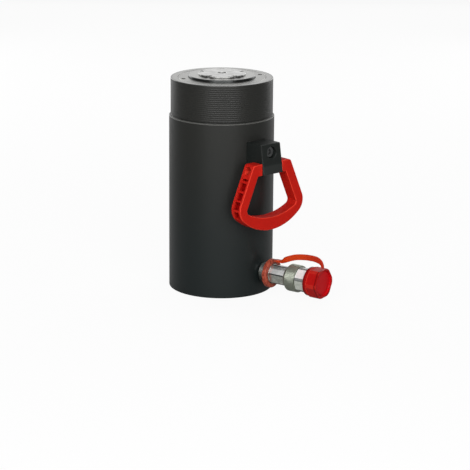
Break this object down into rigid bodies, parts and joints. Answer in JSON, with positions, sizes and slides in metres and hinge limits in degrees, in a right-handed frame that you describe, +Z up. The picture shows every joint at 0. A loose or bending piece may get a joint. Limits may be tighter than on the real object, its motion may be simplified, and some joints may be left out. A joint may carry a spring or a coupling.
{
  "type": "single-acting hydraulic cylinder",
  "caption": "Single-acting spring-return hydraulic cylinder with collar thread, loose grooved saddle, swinging carrying handle and capped quick coupler.",
  "frame": {"origin": "centre of the base face, on the cylinder's axis", "axes": "+Z up along the cylinder's axis, +X out along the oil port and its coupler"},
  "size_m": [0.2153, 0.1327, 0.2643],
  "materials": {
    "black_paint": "semi-matt black baked paint over turned steel",
    "bare_steel": "fine-turned bare steel",
    "saddle_steel": "ground hardened steel",
    "dark_steel": "oil-blacked steel",
    "spring_steel": "drawn spring wire and strip",
    "zinc_plate": "bright zinc plating",
    "knurled_plate": "zinc plating over a fine knurl",
    "black_nylon": "moulded black nylon",
    "red_nylon": "moulded red nylon, satin",
    "red_cap": "soft translucent red plastic",
    "orange_plastic": "flexible orange-red plastic",
    "blue_urethane": "smooth urethane",
    "black_rubber": "nitrile rubber",
    "bronze": "bearing bronze",
    "brass": "turned brass"
  },
  "bodies": {
    "cylinder": {"barrel": "black_paint", "gland_nut": "bare_steel", "rod_wiper": "blue_urethane", "guide_bush": "bronze", "lower_spring_plug": "dark_steel", "lower_anchor_bolt": "dark_steel", "return_spring": "spring_steel", "handle_block": "black_nylon", "block_screw": "dark_steel", "block_washer": "dark_steel", "handle_pin": "dark_steel", "pin_clip_left": "spring_steel", "pin_clip_right": "spring_steel", "coupler_body": "zinc_plate", "coupler_nose": "zinc_plate", "nose_o_ring": "black_rubber", "ball_spring_seat": "brass", "ball_spring": "spring_steel", "cap_tether": "orange_plastic"},
    "plunger": {"plunger": "bare_steel", "piston": "dark_steel", "piston_nut": "dark_steel", "piston_seal": "blue_urethane", "backup_ring": "black_nylon", "wear_band": "bronze", "piston_o_ring": "black_rubber", "upper_spring_plug": "dark_steel", "upper_anchor_bolt": "dark_steel"},
    "saddle": {"saddle": "saddle_steel", "saddle_o_ring": "black_rubber"},
    "handle": {"carry_handle": "red_nylon"},
    "collar": {"coupler_collar": "knurled_plate"},
    "ball": {"valve_ball": "bare_steel"},
    "cap": {"dust_cap": "red_cap"}
  },
  "joints": [
    {"name": "plunger_stroke", "type": "slide", "parent": "cylinder", "child": "plunger", "axis": [0, 0, 1], "range_m": [0, 0.13], "stiffness_N_per_m": 2500, "springref_m": -0.1, "deforming": ["return_spring"]},
    {"name": "saddle_lift", "type": "slide", "parent": "plunger", "child": "saddle", "axis": [0, 0, 1], "range_m": [0, 0.016]},
    {"name": "handle_swing", "type": "hinge", "parent": "cylinder", "child": "handle", "pos_m": [0.081, -0.01766, 0.1628], "axis": [-0.213, -0.977, 0], "range_deg": [-6, 186]},
    {"name": "collar_spin", "type": "hinge", "parent": "cylinder", "child": "collar", "pos_m": [0.11, 0, 0.027], "axis": [1, 0, 0], "continuous": true},
    {"name": "ball_press", "type": "slide", "parent": "cylinder", "child": "ball", "axis": [-1, 0, 0], "range_m": [0, 0.003], "stiffness_N_per_m": 800, "springref_m": -0.002, "deforming": ["ball_spring"]},
    {"name": "cap_pull", "type": "slide", "parent": "cylinder", "child": "cap", "axis": [1, 0, 0], "range_m": [0, 0.014], "deforming": ["cap_tether"]}
  ]
}
